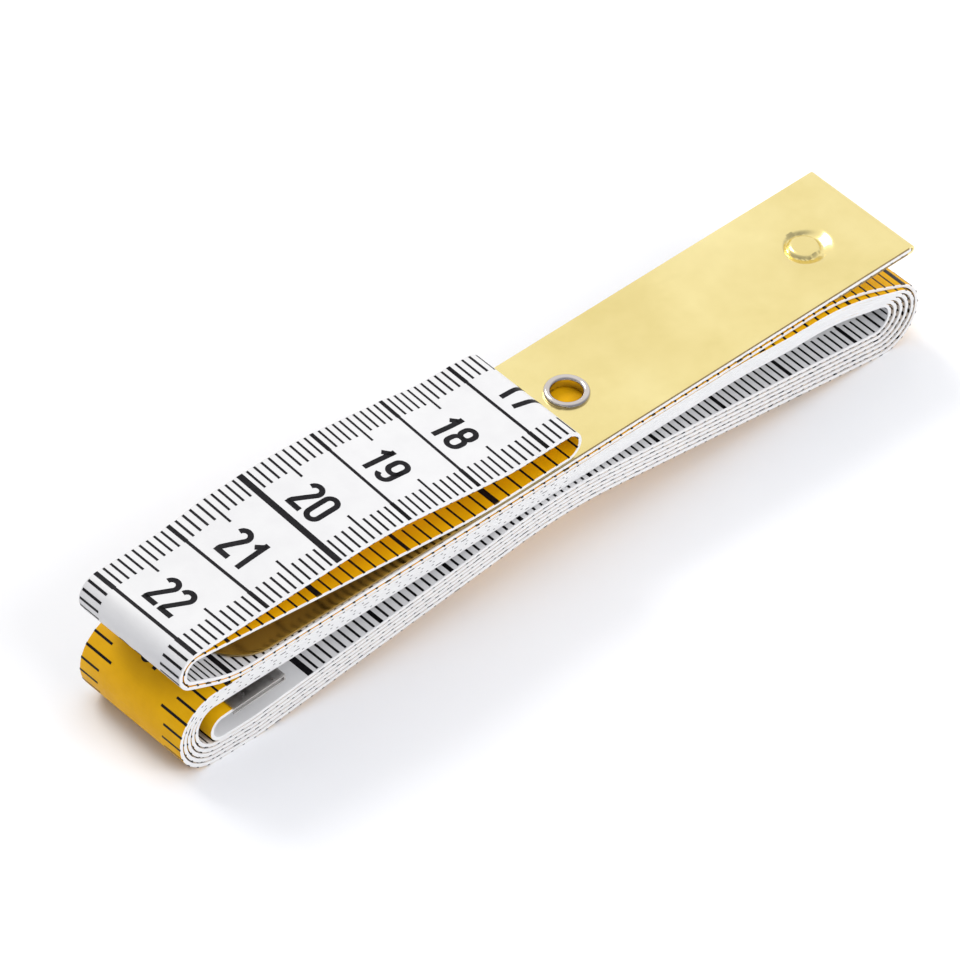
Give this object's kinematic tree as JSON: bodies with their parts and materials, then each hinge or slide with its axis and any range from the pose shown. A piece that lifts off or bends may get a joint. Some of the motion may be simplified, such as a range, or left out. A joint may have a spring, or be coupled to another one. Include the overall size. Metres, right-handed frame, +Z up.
{
  "type": "tape measure",
  "caption": "Flexible dressmaker's tape measure folded flat, with a brass tongue, an eyelet and a flap that folds back off the tongue.",
  "frame": {"origin": "on the surface the bundle lies on, at the middle of its box", "axes": "+X along the folded bundle to the zero end of the tape, where the brass tongue bends; -Y is the front edge; +Z up"},
  "size_m": [0.1088, 0.016, 0.0189],
  "materials": {
    "white_pvc": "satin",
    "yellow_pvc": "satin",
    "glass_yarn": "matte",
    "brass": "satin",
    "nickel": "polished"
  },
  "bodies": {
    "roll": {"white_face_end_fold": "white_pvc", "glass_core_end_fold": "glass_yarn", "yellow_face_end_fold": "yellow_pvc", "white_face_turn_1": "white_pvc", "glass_core_turn_1": "glass_yarn", "yellow_face_turn_1": "yellow_pvc", "white_face_turn_2": "white_pvc", "glass_core_turn_2": "glass_yarn", "yellow_face_turn_2": "yellow_pvc", "white_face_turn_3": "white_pvc", "glass_core_turn_3": "glass_yarn", "yellow_face_turn_3": "yellow_pvc", "white_face_turn_4": "white_pvc", "glass_core_turn_4": "glass_yarn", "yellow_face_turn_4": "yellow_pvc", "white_face_turn_5": "white_pvc", "glass_core_turn_5": "glass_yarn", "yellow_face_turn_5": "yellow_pvc", "white_face_last_run": "white_pvc", "glass_core_last_run": "glass_yarn", "yellow_face_last_run": "yellow_pvc", "white_face_tail": "white_pvc", "glass_core_tail": "glass_yarn", "yellow_face_tail": "yellow_pvc", "tail_clip": "nickel"},
    "under_layer": {"white_face_under_run": "white_pvc", "glass_core_under_run": "glass_yarn", "yellow_face_under_run": "yellow_pvc", "white_face_outer_fold": "white_pvc", "glass_core_outer_fold": "glass_yarn", "yellow_face_outer_fold": "yellow_pvc"},
    "flap": {"white_face_flap": "white_pvc", "glass_core_flap": "glass_yarn", "yellow_face_flap": "yellow_pvc"},
    "tongue": {"white_face_tongue_run": "white_pvc", "glass_core_tongue_run": "glass_yarn", "yellow_face_tongue_run": "yellow_pvc", "white_face_inner_fold": "white_pvc", "glass_core_inner_fold": "glass_yarn", "yellow_face_inner_fold": "yellow_pvc", "brass_tongue": "brass", "eyelet": "nickel"}
  },
  "joints": [
    {"name": "stack_lift", "type": "hinge", "parent": "roll", "child": "under_layer", "pos_m": [0.05699, 0, 0.00689], "axis": [0, 1, 0], "range_deg": [0, 165]},
    {"name": "flap_lift", "type": "hinge", "parent": "under_layer", "child": "flap", "pos_m": [-0.05427, 0, 0.01531], "axis": [0, -1, 0], "range_deg": [0, 160]},
    {"name": "tongue_stay", "type": "hinge", "parent": "flap", "child": "tongue", "pos_m": [-0.05427, 0, 0.01531], "axis": [0, -1, 0], "range_deg": [-160, 0]}
  ],
  "couplings": [
    {"joint": "tongue_stay", "follows": "flap_lift", "ratio": -1}
  ]
}
